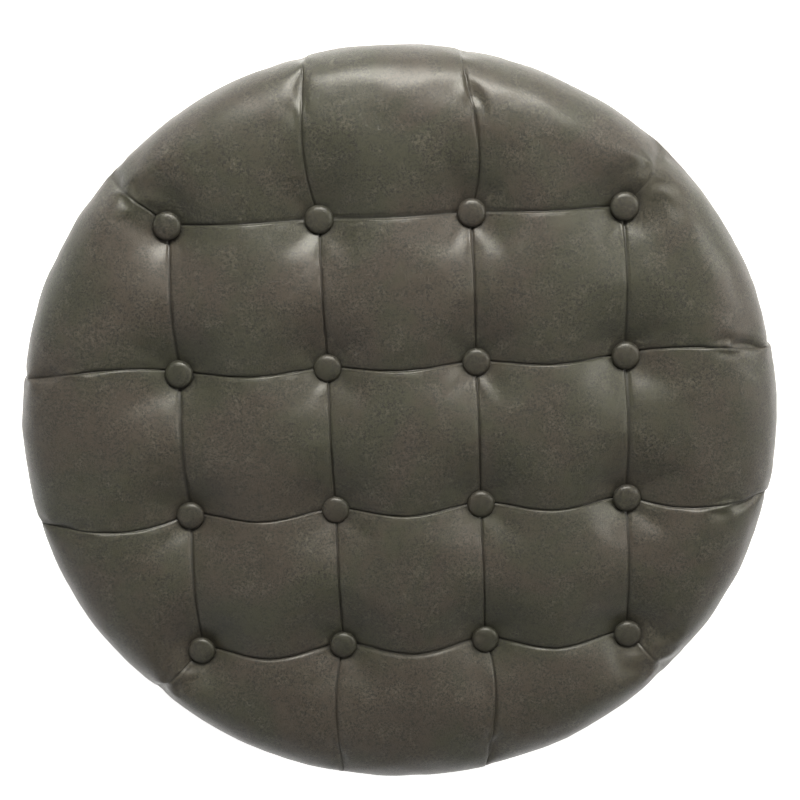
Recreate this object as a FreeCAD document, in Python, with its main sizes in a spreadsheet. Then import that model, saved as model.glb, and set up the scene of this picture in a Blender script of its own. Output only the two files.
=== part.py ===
"""Round button-tufted ottoman with a hinged lid over a lined storage drum.

Frame: millimetres, +Z up, origin on the floor under the drum's centre, hinges at +Y, front at -Y.
Every size is a cell of the sheet "Sizes", and NAMED holds the places that follow from those cells.
"""

import FreeCAD, Part

import os
import re

doc = FreeCAD.newDocument("StorageOttoman")

# Driving dimensions: alias, value in mm or degrees, what it is.
DRIVING = (
    # overall
    ("drum_diameter", 742, "outside of the leather round the drum"),
    ("foot_height", 45, "floor to the underside of the drum"),
    ("drum_height", 300, "underside of the drum to the top of its rim"),
    ("rim_gap", 8, "rim to the underside of the closed lid"),
    ("lid_height", 104, "underside of the lid to the crown of the cushion"),
    ("lid_overhang", 10, "widest part of the cushion outside the drum"),
    # drum
    ("leather_thick", 1.4, "upholstery leather"),
    ("padding_thick", 8, "foam wrap round the drum"),
    ("wall_thick", 3, "bent hardboard outside the frame"),
    ("frame_width", 40, "radial width of the top ring and the posts"),
    ("ring_thick", 18, "plywood top ring"),
    ("base_thick", 15, "plywood base panel"),
    ("liner_thick", 3, "hardboard inside the frame"),
    ("lining_thick", 1, "lining cloth on the inside wall"),
    ("floor_pad_thick", 4, "covered board on the storage floor"),
    ("post_breadth", 45, "post, across the radius"),
    ("hem_width", 34, "leather turned under the base panel"),
    ("dust_thick", 0.8, "non-woven dust cover"),
    ("dust_setin", 12, "edge of the dust cover inside the drum's outside"),
    ("staple_setin", 20, "staples inside the drum's outside"),
    # feet
    ("foot_setin", 83, "middle of a foot inside the drum's outside"),
    ("foot_top_radius", 27, "foot at the drum"),
    ("foot_toe_radius", 19, "foot at the glide"),
    ("foot_collar", 6, "straight band at the top of a foot"),
    ("glide_radius", 15, "plastic glide"),
    ("glide_thick", 3, "plastic glide"),
    ("nail_radius", 1.5, "nail of the glide"),
    ("nail_length", 11, "nail of the glide"),
    ("bolt_radius", 4, "M8 hanger bolt"),
    ("bolt_nail_gap", 7, "wood between the hanger bolt and the glide's nail"),
    ("tee_flange_radius", 11, "tee nut flange"),
    ("tee_flange_thick", 1.5, "tee nut flange"),
    ("tee_barrel_radius", 5.5, "tee nut barrel"),
    ("tee_barrel_length", 9, "tee nut barrel under its flange"),
    # lid
    ("lid_foot_clear", 3.6, "lid's straight foot inside the hinge axis"),
    ("lid_board_thick", 15, "plywood lid board"),
    ("lid_hem", 29, "leather turned under the lid board"),
    ("swell_radius", 30, "rounding under the cushion's widest part"),
    ("shoulder_radius", 48, "rounding over the cushion's widest part"),
    # tufting
    ("tuft_border", 68, "corner buttons inside the cushion's widest part"),
    ("tuft_shift", 6, "the buttons' middle to the right of the lid's"),
    ("button_radius", 14.3, "size 45 covered button"),
    ("button_height", 9, "covered button"),
    ("button_round", 6, "rounding of the button's edge"),
    ("tuft_depth", 26, "crown of the cushion to the seat of a button"),
    ("tuft_mouth_radius", 46, "dimple at the crown"),
    ("tuft_seat_clear", 1.2, "dimple round a button"),
    ("twine_radius", 1, "waxed tufting twine"),
    ("washer_radius", 9, "washer that the twine is tied to"),
    ("washer_thick", 1.5, "washer that the twine is tied to"),
    # hinges
    ("hinge_setin", 8, "hinge axis inside the back of the drum"),
    ("hinge_spread", 50, "centre of each hinge from the middle"),
    ("knuckle_length", 12, "one of the five knuckles"),
    ("knuckle_play", 0.4, "gap between two knuckles"),
    ("knuckle_clear", 0.4, "air round a knuckle"),
    ("leaf_depth", 32, "hinge axis to the front edge of a leaf"),
    ("leaf_screws_near", 19, "hinge axis to the two outer screws of a leaf"),
    ("leaf_screws_far", 26, "hinge axis to the middle screw of a leaf"),
    ("leaf_screws_spread", 20, "outer screws of a leaf from its middle"),
    ("leaf_thick", 1.5, "sheet steel of leaves and brackets"),
    ("pin_radius", 1.75, "hinge pin"),
    ("pin_play", 0.05, "running clearance of a pin in its hole"),
    ("pin_head_step", 0.6, "knuckle's outside over the pin head's"),
    ("pin_head_thick", 1.5, "head at each end of the hinge pin"),
    ("screw_radius", 1.6, "shank of a wood screw"),
    ("screw_head_radius", 3.1, "countersunk head of a wood screw"),
    ("screw_length", 13, "wood screw"),
    # lid stays
    ("lid_swing", 95, "degrees that the lid opens"),
    ("stay_spread", 108, "inside face of a stay arm from the middle"),
    ("stay_setin", 41, "lid pivot inside the wall beside the stay"),
    ("lid_pivot_drop", 3, "degrees from the hinge axis's level down to the lid pivot"),
    ("stud_drop", 13, "degrees from the hinge axis's level down to the stud"),
    ("arm_thick", 2.5, "stay arm"),
    ("arm_width", 16, "stay arm"),
    ("arm_side_gap", 2, "air on each side of a stay arm"),
    ("stud_radius", 3.5, "shoulder of the stud in the arm's slot"),
    ("slot_play", 0.3, "air round the stud in the slot"),
    ("stud_head_lap", 2.2, "head of the stud past the edge of the slot"),
    ("rivet_radius", 2.5, "pivot rivet"),
    ("rivet_head_radius", 4.5, "head of the pivot rivet"),
    ("rivet_head_thick", 1, "head of a rivet or stud"),
    ("rivet_play", 0.2, "air on each side of the arm on its rivet"),
    ("bracket_edge", 2, "metal round a rivet or stud head"),
    ("bracket_length", 28, "lid bracket, front to back"),
    ("bracket_flange", 26, "flange of a bracket, side to side"),
    ("bracket_screws_out", 15.6, "screws of a bracket from its bend"),
    ("bracket_screws_spread", 8.4, "screws of a bracket from its middle"),
    ("rim_flange", 40, "flange of a rim bracket, front to back"),
    ("rim_flange_setin", 12, "front of a rim flange inside the wall lining"),
    ("rim_screws_out", 15, "middle of a rim bracket's screws outside the wall lining"),
    ("web_clear", 2, "web of a rim bracket off the wall lining"),
    ("web_lip", 4, "back corner of the web over the ring's underside"),
    # small trim
    ("bumper_radius", 7, "rubber bumper on the rim"),
    ("bumper_gap", 0.5, "air between a bumper and the lid"),
    ("staple_crown", 10, "width of a staple"),
    ("staple_wire", 0.9, "thickness of a staple's wire"),
    ("staple_leg", 6, "length of a staple's legs"),
)
POSTS = 6
FEET = 4
TUFTS = 4  # rows, and columns
KNUCKLES = 5
BUMPERS = 4
STAPLES = 20
SIDES = {"left": -1, "right": 1}

# Places and sizes that follow from the cells.
NAMED = {
    "drum_radius": "drum_diameter / 2",
    "lid_radius": "drum_radius + lid_overhang",
    "padding_radius": "drum_radius - leather_thick",
    "wall_radius": "padding_radius - padding_thick",
    "frame_radius": "wall_radius - wall_thick",
    "frame_inner": "frame_radius - frame_width",
    "liner_inner": "frame_inner - liner_thick",
    "store_radius": "liner_inner - lining_thick",
    "base_bottom": "foot_height + dust_thick + leather_thick",
    "base_top": "base_bottom + base_thick",
    "rim_top": "foot_height + drum_height",
    "ring_top": "rim_top - leather_thick",
    "ring_bottom": "ring_top - ring_thick",
    "tee_bottom": "base_top - tee_flange_thick - tee_barrel_length",
    "foot_circle": "drum_radius - foot_setin",
    "bolt_bottom": "glide_thick + nail_length + bolt_nail_gap",
    "lid_bottom": "rim_top + rim_gap",
    "lid_foot_radius": "axis_y - lid_foot_clear",
    "board_radius": "lid_foot_radius - leather_thick",
    "board_bottom": "lid_bottom + leather_thick",
    "board_top": "board_bottom + lid_board_thick",
    "cushion_bottom": "board_top - leather_thick",
    "crown": "lid_bottom + lid_height",
    "tuft_seat": "crown - tuft_depth",
    "tuft_seat_radius": "button_radius + tuft_seat_clear",
    "button_pitch": f"(lid_radius - tuft_border) * sqrt(2) / {TUFTS - 1}",
    "lining_radius": "board_radius - lid_hem",
    "axis_y": "drum_radius - hinge_setin",
    "axis_z": "rim_top + rim_gap / 2",
    "knuckle_radius": "rim_gap / 2 - knuckle_clear",
    "pin_head_radius": "knuckle_radius - pin_head_step",
    "hinge_length": f"{KNUCKLES} * knuckle_length",
    "ear_outer": "stay_spread - arm_side_gap",
    "web_inner": "stay_spread + arm_thick + arm_side_gap",
    "wall_beside_stay": "sqrt(store_radius ^ 2 - (web_inner + leaf_thick) ^ 2)",
    "stay_reach": "axis_y - wall_beside_stay + stay_setin",
    "pivot_y": "axis_y - stay_reach * cos(lid_pivot_drop)",
    "pivot_z": "axis_z - stay_reach * sin(lid_pivot_drop)",
    "stud_y": "axis_y - stay_reach * cos(stud_drop)",
    "stud_z": "axis_z - stay_reach * sin(stud_drop)",
    "slot_near": "2 * stay_reach * sin((stud_drop - lid_pivot_drop) / 2)",
    "slot_far": "2 * stay_reach * sin((stud_drop - lid_pivot_drop + lid_swing) / 2)",
    "arm_lean": "(stud_drop + lid_pivot_drop) / 2",
    "slot_half": "stud_radius + slot_play",
    "stud_head_radius": "slot_half + stud_head_lap",
    "web_front": "stud_y - stud_head_radius - bracket_edge",
    "web_back": "wall_beside_stay - web_clear",
}

sheet = doc.addObject("Spreadsheet::Sheet", "Sizes")
for row, (alias, number, meaning) in enumerate(DRIVING, start=1):
    sheet.set(f"A{row}", str(number))
    sheet.setAlias(f"A{row}", alias)
    sheet.set(f"B{row}", meaning)
doc.recompute()

ALIASES = {alias for alias, _, _ in DRIVING}


def expand(text):
    """An expression on the sheet's cells, from one that uses the short names."""

    def one(match):
        word = match.group(0)
        if word in NAMED:
            return "(" + expand(NAMED[word]) + ")"
        return "Sizes." + word if word in ALIASES else word

    return re.sub(r"[A-Za-z_]\w*", one, str(text))


def value(text):
    """The number that an expression stands for now."""
    return float(sheet.evalExpression(expand(text)))


def bind(obj, **places):
    """Binds an object's properties to expressions. In a name, __ stands for a dot."""
    for name, text in places.items():
        obj.setExpression(name.replace("__", "."), expand(text))
    return obj


def put(obj, x="0", y="0", z="0"):
    return bind(obj, Placement__Base__x=x, Placement__Base__y=y, Placement__Base__z=z)


# ---------------------------------------------------------------- primitives


def fresh(kind, name):
    return doc.addObject(kind, name)


def box(name, length, width, height, x="0", y="0", z="0"):
    made = bind(fresh("Part::Box", name), Length=length, Width=width, Height=height)
    return put(made, x, y, z)


def cylinder(name, radius, height, x="0", y="0", z="0", along="Z"):
    """A cylinder whose first end's centre is at x, y, z, running along +Z or +X."""
    made = bind(fresh("Part::Cylinder", name), Radius=radius, Height=height)
    if along == "X":
        made.Placement = FreeCAD.Placement(
            FreeCAD.Vector(), FreeCAD.Rotation(FreeCAD.Vector(0, 1, 0), 90)
        )
    return put(made, x, y, z)


def cone(name, low_radius, high_radius, height, x="0", y="0", z="0"):
    made = bind(fresh("Part::Cone", name), Radius1=low_radius, Radius2=high_radius, Height=height)
    return put(made, x, y, z)


def fuse(name, shapes):
    made = fresh("Part::MultiFuse", name)
    made.Shapes = shapes
    return made


def group(name, shapes):
    """Separate solids that stay separate in one object."""
    made = fresh("Part::Compound", name)
    made.Links = shapes
    return made


def cut(name, base, *tools):
    """base less every tool."""
    for number, tool in enumerate(tools):
        last = number == len(tools) - 1
        made = fresh("Part::Cut", name if last else f"{name}_stage_{number + 1}")
        made.Base, made.Tool = base, tool
        base = made
    return base


def tube(name, outer, inner, z, height):
    return cut(
        name,
        cylinder(name + "_outside", outer, height, z=z),
        cylinder(name + "_inside", inner, height, z=z),
    )


def fillet_circle(name, base, radii):
    """Rounds the flat circular edges of a turned shape: {edge height: radius}, as expressions."""
    doc.recompute()
    made = fresh("Part::Fillet", name)
    made.Base = base
    edges = []
    for height, radius in radii.items():
        for number, edge in enumerate(base.Shape.Edges, start=1):
            flat = edge.BoundBox.ZLength < 1e-6 and isinstance(edge.Curve, Part.Circle)
            if flat and abs(edge.BoundBox.ZMin - value(height)) < 1e-6:
                edges.append((number, value(radius), value(radius)))
    made.Edges = edges
    return made


# ---------------------------------------------------------------- turned and flat bodies


def plane(body, role):
    return next(f for f in body.Origin.OriginFeatures if f.Role == role)


def outline(body, role, name, corners):
    """A closed sketch of straight lines on one of the body's origin planes, every corner bound."""
    import Sketcher

    sketch = body.newObject("Sketcher::SketchObject", name)
    sketch.AttachmentSupport = [(plane(body, role), "")]
    sketch.MapMode = "FlatFace"
    points = [FreeCAD.Vector(value(a), value(b), 0) for a, b in corners]
    count = len(points)
    for i in range(count):
        sketch.addGeometry(Part.LineSegment(points[i], points[(i + 1) % count]), False)
    for i in range(count):
        sketch.addConstraint(Sketcher.Constraint("Coincident", i, 2, (i + 1) % count, 1))
    for i, (a, b) in enumerate(corners):
        for kind, text, number in (("DistanceX", a, points[i].x), ("DistanceY", b, points[i].y)):
            index = sketch.addConstraint(Sketcher.Constraint(kind, -1, 1, i, 1, number))
            sketch.setExpression(f"Constraints[{index}]", expand(text))
    return sketch


def turned(name, corners):
    """A PartDesign body turned about its own Z axis from (radius, height) corners."""
    body = fresh("PartDesign::Body", name)
    sketch = outline(body, "XZ_Plane", name + "_profile", corners)
    doc.recompute()
    turn = body.newObject("PartDesign::Revolution", name + "_turn")
    turn.Profile = sketch
    turn.ReferenceAxis = (plane(body, "Z_Axis"), [""])
    turn.Angle = 360
    body.Tip = turn
    return body


def sheet_metal(name, corners, thick, x):
    """A flat body in the YZ plane from (y, z) corners, thick towards +X from x."""
    body = fresh("PartDesign::Body", name)
    sketch = outline(body, "YZ_Plane", name + "_profile", corners)
    doc.recompute()
    pad = body.newObject("PartDesign::Pad", name + "_pad")
    pad.Profile = sketch
    bind(pad, Length=thick)
    body.Tip = pad
    return bind(body, Placement__Base__x=x)


def around(count, first, radius):
    """(x, y, angle) expressions of points evenly spaced on a circle."""
    for number in range(count):
        angle = first + 360 * number / count
        yield f"({radius}) * cos({angle})", f"({radius}) * sin({angle})", angle


def tuft_spots():
    """(row, column, x, y) of each button; row 1 is at the back and column 1 on the left."""
    middle = (TUFTS + 1) / 2
    for row in range(1, TUFTS + 1):
        for column in range(1, TUFTS + 1):
            across = f"tuft_shift + button_pitch * {column - middle}"
            yield row, column, across, f"button_pitch * {middle - row}"


def at_tufts(name, make):
    """A group of what make(name, x, y) gives at each tuft."""
    return group(name, [make(f"{name}_{r}_{c}", x, y) for r, c, x, y in tuft_spots()])


# ---------------------------------------------------------------- screws


def screw(name, x, y, z, up):
    """A countersunk wood screw with its head's face at z, pointing up or down."""
    if up:
        head = cone(name + "_head", "screw_head_radius", "screw_radius", "leaf_thick", x, y, z)
        shank = cylinder(name + "_shank", "screw_radius", "screw_length", x, y, z)
    else:
        low = f"{z} - leaf_thick"
        head = cone(name + "_head", "screw_radius", "screw_head_radius", "leaf_thick", x, y, low)
        shank = cylinder(name + "_shank", "screw_radius", "screw_length", x, y, f"{z} - screw_length")
    return fuse(name, [head, shank])


def hinge_screw_spots(side):
    """(x, y) of the three screws in one leaf."""
    middle = f"{side} * hinge_spread"
    yield f"{middle} - leaf_screws_spread", "axis_y - leaf_screws_near"
    yield middle, "axis_y - leaf_screws_far"
    yield f"{middle} + leaf_screws_spread", "axis_y - leaf_screws_near"


# ---------------------------------------------------------------- drum


def make_feet():
    """Four turned feet with their glides, hanger bolts and tee nuts."""
    profile = [
        ("nail_radius", "glide_thick"),
        ("foot_toe_radius", "glide_thick"),
        ("foot_top_radius", "foot_height - foot_collar"),
        ("foot_top_radius", "foot_height"),
        ("bolt_radius", "foot_height"),
        ("bolt_radius", "bolt_bottom"),
        ("0", "bolt_bottom"),
        ("0", "glide_thick + nail_length"),
        ("nail_radius", "glide_thick + nail_length"),
    ]
    glides, bolts, nuts = [], [], []
    for number, (x, y, _) in enumerate(around(FEET, 45, "foot_circle"), start=1):
        put(turned(f"foot_{number}", profile), x, y)
        pad = cylinder(f"glide_pad_{number}", "glide_radius", "glide_thick", x, y)
        nail = cylinder(f"glide_nail_{number}", "nail_radius", "nail_length", x, y, "glide_thick")
        glides.append(fuse(f"glide_{number}", [pad, nail]))
        length = "base_top - bolt_bottom - leather_thick"
        bolts.append(cylinder(f"foot_bolt_{number}", "bolt_radius", length, x, y, "bolt_bottom"))
        flange = cylinder(f"tee_flange_{number}", "tee_flange_radius", "tee_flange_thick",
                          x, y, "base_top - tee_flange_thick")
        barrel = cylinder(f"tee_barrel_{number}", "tee_barrel_radius", "tee_barrel_length",
                          x, y, "tee_bottom")
        nuts.append(fuse(f"tee_nut_{number}", [flange, barrel]))
    group("foot_glides", glides)
    bolt_group = group("foot_bolts", bolts)
    nut_blanks = group("tee_nut_blanks", nuts)
    cut("tee_nuts", nut_blanks, bolt_group)
    return bolt_group, nut_blanks


def make_staples():
    """Staples that hold the dust cover, crowns down, legs up in the base panel."""
    made = []
    for number, (x, y, angle) in enumerate(
        around(STAPLES, 180 / STAPLES, "drum_radius - staple_setin"), start=1
    ):
        crown = box(f"staple_crown_{number}", "staple_wire", "staple_crown", "staple_wire",
                    "-staple_wire / 2", "-staple_crown / 2", "foot_height - staple_wire")
        legs = [
            box(f"staple_leg_{number}_{end}", "staple_wire", "staple_wire",
                "staple_leg", "-staple_wire / 2", where, "foot_height")
            for end, where in ((1, "-staple_crown / 2"), (2, "staple_crown / 2 - staple_wire"))
        ]
        staple = fuse(f"staple_{number}", [crown, *legs])
        staple.Placement.Rotation = FreeCAD.Rotation(FreeCAD.Vector(0, 0, 1), angle)
        made.append(put(staple, x, y))
    return group("dust_cover_staples", made)


def make_frame(bolts, nut_blanks, staples, rim_fixings):
    """Base panel, posts and top ring, with the bent walls on both sides of them."""
    blank = cylinder("base_panel_blank", "frame_radius", "base_thick", z="base_bottom")
    cut("base_panel", blank, nut_blanks, bolts, staples)
    ring = tube("top_ring_blank", "frame_radius", "frame_inner", "ring_bottom", "ring_thick")
    cut("top_ring", ring, rim_fixings)
    outer_face = "sqrt(frame_radius ^ 2 - (post_breadth / 2) ^ 2)"
    for number, (_, _, angle) in enumerate(around(POSTS, 0, "frame_inner"), start=1):
        post = box(f"post_{number}", f"{outer_face} - frame_inner", "post_breadth",
                   "ring_bottom - base_top")
        post.Placement.Rotation = FreeCAD.Rotation(FreeCAD.Vector(0, 0, 1), angle)
        put(
            post,
            f"frame_inner * cos({angle}) + post_breadth / 2 * sin({angle})",
            f"frame_inner * sin({angle}) - post_breadth / 2 * cos({angle})",
            "base_top",
        )
    tube("outer_wall", "wall_radius", "frame_radius", "base_bottom", "ring_top - base_bottom")
    tube("inner_wall", "frame_inner", "liner_inner", "base_top", "ring_top - base_top")


def make_upholstery(bolts, staples, rim_fixings):
    """Padding and leather outside, lining inside, dust cover underneath."""
    height = "ring_top - base_bottom"
    tube("side_padding", "padding_radius", "wall_radius", "base_bottom", height)
    inside_hem = "drum_radius - hem_width"
    cover = turned(
        "side_cover_blank",
        [
            (inside_hem, "base_bottom - leather_thick"),
            ("drum_radius", "base_bottom - leather_thick"),
            ("drum_radius", "rim_top"),
            ("liner_inner", "rim_top"),
            ("liner_inner", "ring_top"),
            ("padding_radius", "ring_top"),
            ("padding_radius", "base_bottom"),
            (inside_hem, "base_bottom"),
        ],
    )
    cut("side_cover", cover, rim_fixings, staples)
    tube("wall_lining", "liner_inner", "store_radius", "base_top", "rim_top - base_top")
    cylinder("floor_lining", "store_radius", "floor_pad_thick", z="base_top")
    dust = cylinder("dust_cover_blank", "drum_radius - dust_setin", "dust_thick", z="foot_height")
    cut("dust_cover", dust, bolts, staples)
    bumpers = [
        cylinder(f"bumper_{number}", "bumper_radius", "rim_gap - bumper_gap", x, y, "rim_top")
        for number, (x, y, _) in enumerate(
            around(BUMPERS, -135, "(frame_radius + frame_inner) / 2"), start=1
        )
    ]
    group("rim_bumpers", bumpers)


# ---------------------------------------------------------------- lid


def cushion_blank(name, inset):
    """The cushion's turned outline, drawn in by inset on every side."""
    plain = cylinder(f"{name}_plain", f"lid_radius - ({inset})",
                     f"crown - cushion_bottom - 2 * ({inset})", z=f"cushion_bottom + ({inset})")
    return fillet_circle(
        name,
        plain,
        {
            f"cushion_bottom + ({inset})": f"swell_radius - ({inset})",
            f"crown - ({inset})": f"shoulder_radius - ({inset})",
        },
    )


def dimples(name, extra):
    """The sixteen dimples, deeper and wider by extra."""
    return at_tufts(
        name,
        lambda label, x, y: cone(
            label,
            f"tuft_seat_radius + ({extra})",
            f"tuft_mouth_radius + ({extra})",
            f"tuft_depth + ({extra})",
            x,
            y,
            f"tuft_seat - ({extra})",
        ),
    )


def covered_button(name, x, y):
    """One button: a shell under leather, flat at the back and rounded in front."""
    plain = cylinder(name + "_plain", "button_radius", "button_height", x, y, "tuft_seat")
    return fillet_circle(name, plain, {"tuft_seat + button_height": "button_round"})


def make_lid(lid_fixings):
    """Board, foam, leather and the tufting that ties them together."""
    twines = at_tufts(
        "tuft_twines",
        lambda label, x, y: cylinder(label, "twine_radius", "tuft_seat - board_bottom",
                                     x, y, "board_bottom"),
    )
    washer_blanks = at_tufts(
        "tuft_washer_blanks",
        lambda label, x, y: cylinder(label, "washer_radius", "washer_thick", x, y, "board_bottom"),
    )
    cut("tuft_washers", washer_blanks, twines)
    at_tufts("tuft_buttons", covered_button)

    board = cylinder("lid_board_blank", "board_radius", "lid_board_thick", z="board_bottom")
    cut("lid_board", board, washer_blanks, twines, lid_fixings)
    lining = cylinder("lid_lining_blank", "lining_radius", "leather_thick", z="lid_bottom")
    cut("lid_lining", lining, lid_fixings)

    foam_blank = cushion_blank("foam_outline", "leather_thick")
    foam = cut("foam_with_dimples", foam_blank, board, dimples("foam_dimples", "leather_thick"))
    cut("lid_foam", foam, twines)

    swell = cushion_blank("cover_outline", "0")
    plinth = cylinder("cover_plinth", "lid_foot_radius", "board_top - lid_bottom", z="lid_bottom")
    outside = fuse("cover_outside", [swell, plinth])
    cut("lid_cover", outside, dimples("cover_dimples", "0"), foam, board, lining, twines, lid_fixings)


# ---------------------------------------------------------------- hinges


def hinge_leaf(name, side, lid, screws):
    """One leaf with its own knuckles: the lid's are the second and fourth of five."""
    start = f"{side} * hinge_spread - hinge_length / 2"
    low = "lid_bottom - leaf_thick" if lid else "rim_top"
    clear = "knuckle_radius + knuckle_clear"
    plates = [
        box(f"{name}_plate", "hinge_length", f"leaf_depth - ({clear})", "leaf_thick",
            start, "axis_y - leaf_depth", low)
    ]
    for number in range(KNUCKLES):
        if (number % 2 == 1) != lid:
            continue
        x = f"{start} + {number} * knuckle_length + knuckle_play / 2"
        length = "knuckle_length - knuckle_play"
        plates.append(
            box(f"{name}_tongue_{number}", length, clear, "leaf_thick", x, f"axis_y - ({clear})", low)
        )
        plates.append(
            cylinder(f"{name}_knuckle_{number}", "knuckle_radius", length, x, "axis_y", "axis_z", "X")
        )
    bore = cylinder(f"{name}_bore", "pin_radius + pin_play", "hinge_length",
                    start, "axis_y", "axis_z", "X")
    return cut(name, fuse(f"{name}_blank", plates), bore, screws)


def hinge_pin(name, side):
    start = f"{side} * hinge_spread - hinge_length / 2"
    overhang = "pin_head_thick + knuckle_play"
    shaft = cylinder(f"{name}_shaft", "pin_radius", f"hinge_length + 2 * ({overhang})",
                     f"{start} - ({overhang})", "axis_y", "axis_z", "X")
    heads = [
        cylinder(f"{name}_head_{end}", "pin_head_radius", "pin_head_thick", x, "axis_y", "axis_z", "X")
        for end, x in ((1, f"{start} - ({overhang})"), (2, f"{start} + hinge_length + knuckle_play"))
    ]
    return fuse(name, [shaft, *heads])


# ---------------------------------------------------------------- lid stays


def across(side, near, thick):
    """x of the low face of something thick between near and near + thick from the middle."""
    return near if side > 0 else f"-({near}) - ({thick})"


def stadium(name, width, near, far, thick, x):
    """A flat strip with round ends in the YZ plane, its ends' centres at z = -near and -far."""
    ends = [
        cylinder(f"{name}_end_{n}", f"({width}) / 2", thick, x, z=f"-({d})", along="X")
        for n, d in ((1, near), (2, far))
    ]
    bar = box(f"{name}_bar", thick, width, f"({far}) - ({near})",
              x, f"-({width}) / 2", f"-({far})")
    return fuse(name, [bar, *ends])


def stay_arm(name, side):
    """A slotted arm: pivots on the lid's ear, slides on the drum's stud."""
    x = across(side, "stay_spread", "arm_thick")
    end = "slot_far + slot_half"
    strip = stadium(f"{name}_strip", "arm_width", "0", end, "arm_thick", x)
    slot = stadium(f"{name}_slot", "2 * slot_half", "slot_near", "slot_far", "arm_thick", x)
    hole = cylinder(f"{name}_hole", "rivet_radius + pin_play", "arm_thick", x, along="X")
    arm = cut(name, strip, slot, hole)
    arm.Placement.Rotation = FreeCAD.Rotation(FreeCAD.Vector(1, 0, 0), value("arm_lean"))
    bind(arm, Placement__Rotation__Angle="arm_lean")
    return put(arm, "0", "pivot_y", "pivot_z")


def rim_bracket(name, side, screws):
    """A bent plate: its flange is screwed on the rim, and its web hangs inside and holds the stud."""
    web_x = across(side, "web_inner", "leaf_thick")
    foot = "stud_z - stud_head_radius - bracket_edge"
    web = sheet_metal(
        f"{name}_web",
        [
            ("web_front", foot),
            ("stud_y + stud_head_radius + bracket_edge", foot),
            ("web_back", "ring_bottom + web_lip"),
            ("web_back", "rim_top + leaf_thick"),
            ("web_front", "rim_top + leaf_thick"),
        ],
        "leaf_thick",
        web_x,
    )
    flange = box(f"{name}_flange", "bracket_flange", "rim_flange", "leaf_thick",
                 across(side, "web_inner", "bracket_flange"),
                 "wall_beside_stay - rim_flange_setin", "rim_top")
    hole = cylinder(f"{name}_hole", "rivet_radius", "leaf_thick", web_x, "stud_y", "stud_z", "X")
    return cut(name, fuse(f"{name}_blank", [web, flange]), hole, screws)


def lid_bracket(name, side, screws):
    """A bent plate: its flange is screwed under the lid, and its ear carries the arm's pivot."""
    ear_x = across(side, "ear_outer - leaf_thick", "leaf_thick")
    front = "pivot_y - bracket_length / 2"
    ear = sheet_metal(
        f"{name}_ear",
        [
            (front, "lid_bottom"),
            ("pivot_y - rivet_head_radius", "pivot_z - rivet_head_radius - bracket_edge"),
            ("pivot_y + rivet_head_radius", "pivot_z - rivet_head_radius - bracket_edge"),
            ("pivot_y + bracket_length / 2", "lid_bottom"),
        ],
        "leaf_thick",
        ear_x,
    )
    flange = box(f"{name}_flange", "bracket_flange", "bracket_length", "leaf_thick",
                 across(side, "ear_outer - bracket_flange", "bracket_flange"),
                 front, "lid_bottom - leaf_thick")
    hole = cylinder(f"{name}_hole", "rivet_radius", "leaf_thick", ear_x, "pivot_y", "pivot_z", "X")
    return cut(name, fuse(f"{name}_blank", [ear, flange]), hole, screws)


def stud(name, side):
    """A shouldered stud riveted in the web: the arm's slot runs on its shoulder."""
    shoulder = "arm_side_gap * 2 + arm_thick"
    parts = (
        ("head", "stud_head_radius", f"web_inner - ({shoulder}) - rivet_head_thick",
         "rivet_head_thick"),
        ("shoulder", "stud_radius", f"web_inner - ({shoulder})", shoulder),
        ("tail", "rivet_radius", "web_inner", "leaf_thick"),
        ("upset", "rivet_head_radius", "web_inner + leaf_thick", "rivet_head_thick"),
    )
    return fuse(name, [
        cylinder(f"{name}_{label}", radius, length, across(side, near, length), "stud_y", "stud_z", "X")
        for label, radius, near, length in parts
    ])


def pivot_rivet(name, side):
    """The rivet that joins the ear and the arm, with a spacer collar between them."""
    inside = "ear_outer - leaf_thick - rivet_head_thick"
    parts = (
        ("head", "rivet_head_radius", inside, "rivet_head_thick"),
        ("shank", "rivet_radius", "ear_outer - leaf_thick",
         "leaf_thick + arm_side_gap + arm_thick + rivet_play"),
        ("collar", "rivet_head_radius", "ear_outer", "arm_side_gap - rivet_play"),
        ("upset", "rivet_head_radius", "stay_spread + arm_thick + rivet_play", "rivet_head_thick"),
    )
    return fuse(name, [
        cylinder(f"{name}_{label}", radius, length, across(side, near, length), "pivot_y", "pivot_z", "X")
        for label, radius, near, length in parts
    ])


# ---------------------------------------------------------------- assembly


def make_fixings():
    """All wood screws, in two groups: into the rim, and into the lid."""
    rim, lid = [], []
    for label, side in SIDES.items():
        for number, (x, y) in enumerate(hinge_screw_spots(side), start=1):
            rim.append(screw(f"rim_screw_{label}_{number}", x, y, "rim_top + leaf_thick", False))
            lid.append(screw(f"lid_screw_{label}_{number}", x, y, "lid_bottom - leaf_thick", True))
        for number, way in enumerate("-+", start=1):
            x_rim = f"{side} * (web_inner + bracket_screws_out)"
            y_rim = f"wall_beside_stay + rim_screws_out {way} bracket_screws_spread"
            rim.append(screw(f"rim_screw_{label}_stay_{number}", x_rim, y_rim,
                             "rim_top + leaf_thick", False))
            lid.append(screw(f"lid_screw_{label}_stay_{number}",
                             f"{side} * (ear_outer - bracket_screws_out)",
                             f"pivot_y {way} bracket_screws_spread",
                             "lid_bottom - leaf_thick", True))
    return group("rim_screws", rim), group("lid_screws", lid)


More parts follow.
